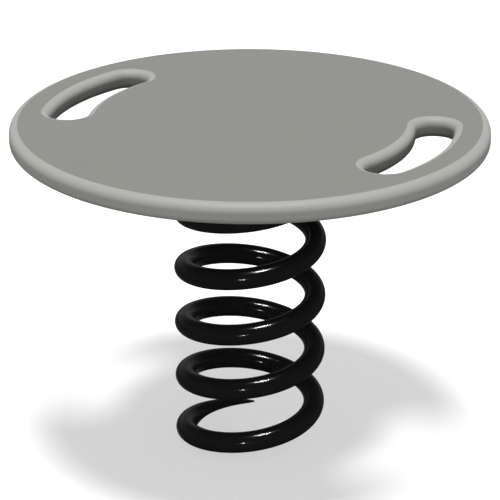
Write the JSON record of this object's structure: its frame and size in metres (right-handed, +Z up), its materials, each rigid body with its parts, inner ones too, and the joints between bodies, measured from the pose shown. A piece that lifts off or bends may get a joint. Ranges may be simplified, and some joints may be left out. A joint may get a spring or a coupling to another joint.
{
  "type": "playground spring platform",
  "caption": "Round plastic platform with two curved hand-holds on one heavy coil spring, clamped to a buried steel base plate; it rocks, bounces and twists.",
  "frame": {"origin": "centre of the base plate's underside; the surfacing that hides the base is 70 mm above it", "axes": "+Z up along the spring; the two hand-holds lie on +X and -X"},
  "size_m": [0.4579, 0.458, 0.402],
  "materials": {
    "platform": "moulded sheet with a fine anti-slip grain",
    "spring_paint": "gloss black powder coat",
    "plate_paint": "satin black powder coat",
    "zinc_steel": "zinc plated",
    "nylon": "translucent nylon",
    "brass_insert": "turned"
  },
  "bodies": {
    "base": {"base_plate": "plate_paint", "lower_clamp_1": "plate_paint", "lower_clamp_2": "plate_paint", "lower_clamp_3": "plate_paint", "lower_studs": "zinc_steel", "lower_clamp_washers": "zinc_steel", "lower_lock_nuts": "zinc_steel", "lower_nylon_rings": "nylon", "spring_lower_end": "spring_paint"},
    "coil_1": {"spring_coil_1": "spring_paint"},
    "coil_2": {"spring_coil_2": "spring_paint"},
    "coil_3": {"spring_coil_3": "spring_paint"},
    "coil_4": {"spring_coil_4": "spring_paint"},
    "coil_5": {"spring_coil_5": "spring_paint"},
    "coil_6": {"spring_coil_6": "spring_paint"},
    "coil_7": {"spring_coil_7": "spring_paint"},
    "coil_8": {"spring_coil_8": "spring_paint"},
    "coil_9": {"spring_coil_9": "spring_paint"},
    "platform": {"platform_disc": "platform", "threaded_inserts": "brass_insert", "top_plate": "plate_paint", "platform_screws": "zinc_steel", "screw_washers": "zinc_steel", "upper_studs": "zinc_steel", "upper_clamp_1": "plate_paint", "upper_clamp_2": "plate_paint", "upper_clamp_3": "plate_paint", "upper_clamp_washers": "zinc_steel", "upper_lock_nuts": "zinc_steel", "upper_nylon_rings": "nylon", "spring_upper_end": "spring_paint"}
  },
  "joints": [
    {"name": "bounce_1", "type": "hinge", "parent": "base", "child": "coil_1", "pos_m": [0, -0.064, 0.0852], "axis": [1, 0, 0], "range_deg": [-2.25, 0.65], "stiffness_Nm_per_rad": 2660, "deforming": ["spring_coil_1"]},
    {"name": "bounce_2", "type": "hinge", "parent": "coil_1", "child": "coil_2", "pos_m": [0, 0.064, 0.1142], "axis": [-1, 0, 0], "range_deg": [-2.25, 0.65], "stiffness_Nm_per_rad": 2660, "deforming": ["spring_coil_2"]},
    {"name": "rock_fore_lower", "type": "hinge", "parent": "coil_2", "child": "coil_3", "pos_m": [-0.064, 0, 0.1287], "axis": [1, 0, 0], "range_deg": [-6, 6], "stiffness_Nm_per_rad": 1534, "deforming": ["spring_coil_3"]},
    {"name": "rock_side_lower", "type": "hinge", "parent": "coil_3", "child": "coil_4", "pos_m": [0, -0.064, 0.1432], "axis": [0, 1, 0], "range_deg": [-6, 6], "stiffness_Nm_per_rad": 1534, "deforming": ["spring_coil_4"]},
    {"name": "twist_lower", "type": "hinge", "parent": "coil_4", "child": "coil_5", "pos_m": [-0.064, 0, 0.1867], "axis": [0, 0, 1], "range_deg": [-3, 3], "stiffness_Nm_per_rad": 1768, "deforming": ["spring_coil_5"]},
    {"name": "twist_upper", "type": "hinge", "parent": "coil_5", "child": "coil_6", "pos_m": [0.064, 0, 0.2157], "axis": [0, 0, 1], "range_deg": [-3, 3], "stiffness_Nm_per_rad": 1768, "deforming": ["spring_coil_6"]},
    {"name": "rock_side_upper", "type": "hinge", "parent": "coil_6", "child": "coil_7", "pos_m": [0, -0.064, 0.2592], "axis": [0, 1, 0], "range_deg": [-6, 6], "stiffness_Nm_per_rad": 1534, "deforming": ["spring_coil_7"]},
    {"name": "rock_fore_upper", "type": "hinge", "parent": "coil_7", "child": "coil_8", "pos_m": [0.064, 0, 0.2737], "axis": [1, 0, 0], "range_deg": [-6, 6], "stiffness_Nm_per_rad": 1534, "deforming": ["spring_coil_8"]},
    {"name": "bounce_3", "type": "hinge", "parent": "coil_8", "child": "coil_9", "pos_m": [0, 0.064, 0.2882], "axis": [-1, 0, 0], "range_deg": [-2.25, 0.65], "stiffness_Nm_per_rad": 2660, "deforming": ["spring_coil_9"]},
    {"name": "bounce_4", "type": "hinge", "parent": "coil_9", "child": "platform", "pos_m": [0, -0.064, 0.3172], "axis": [1, 0, 0], "range_deg": [-2.25, 0.65], "stiffness_Nm_per_rad": 2660}
  ],
  "couplings": [
    {"joint": "bounce_2", "follows": "bounce_1", "ratio": 1},
    {"joint": "bounce_3", "follows": "bounce_1", "ratio": 1},
    {"joint": "bounce_4", "follows": "bounce_1", "ratio": 1},
    {"joint": "rock_fore_upper", "follows": "rock_fore_lower", "ratio": 1},
    {"joint": "rock_side_upper", "follows": "rock_side_lower", "ratio": 1},
    {"joint": "twist_upper", "follows": "twist_lower", "ratio": 1}
  ]
}
